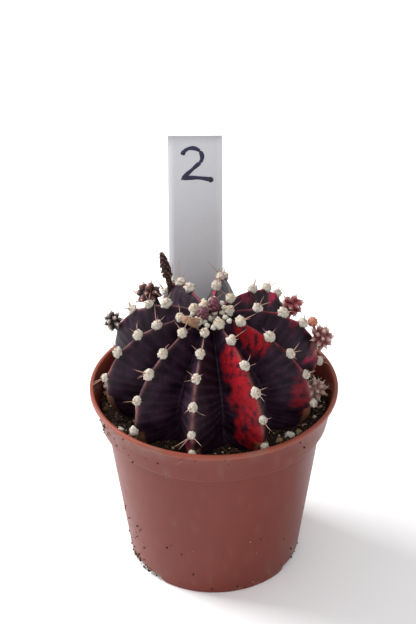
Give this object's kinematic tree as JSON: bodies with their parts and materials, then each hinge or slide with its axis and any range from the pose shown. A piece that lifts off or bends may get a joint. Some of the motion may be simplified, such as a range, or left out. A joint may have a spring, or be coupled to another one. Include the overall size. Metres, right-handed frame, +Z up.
{
  "type": "potted moon cactus",
  "caption": "Own-rooted variegated moon cactus with offsets, in a terracotta-coloured plastic nursery pot with a plain plant label.",
  "frame": {"origin": "under the middle of the whole set's bounding box, on the surface it stands on", "axes": "+Z up, -Y towards the front of the plant, the label stands at the back"},
  "size_m": [0.085, 0.0958, 0.1361],
  "materials": {
    "terracotta": "satin moulded plastic",
    "peat": null,
    "flesh": null,
    "label_grey": "satin plastic",
    "plum": null,
    "straw": null,
    "husk": null,
    "dark_offset": null,
    "pink_offset": null,
    "pale_offset": null,
    "perlite": null,
    "grit": null
  },
  "bodies": {
    "root": {"nursery_pot": "terracotta", "potting_soil": "peat", "cactus_body": "flesh", "plant_label": "label_grey", "offset_back_left": "dark_offset", "offset_left": "dark_offset", "offset_back_right": "pink_offset", "offset_right": "pink_offset", "offset_low_right": "pale_offset", "flower_bud_left": "plum", "flower_bud_right": "plum", "dried_flower": "straw", "dried_stalk": "husk", "withered_bud": "pink_offset", "perlite_left": "perlite", "grit_left": "grit", "perlite_right_a": "perlite", "perlite_right_b": "perlite", "perlite_front": "perlite", "grit_front_a": "grit", "grit_front_b": "grit", "perlite_front_left": "perlite"}
  },
  "joints": []
}
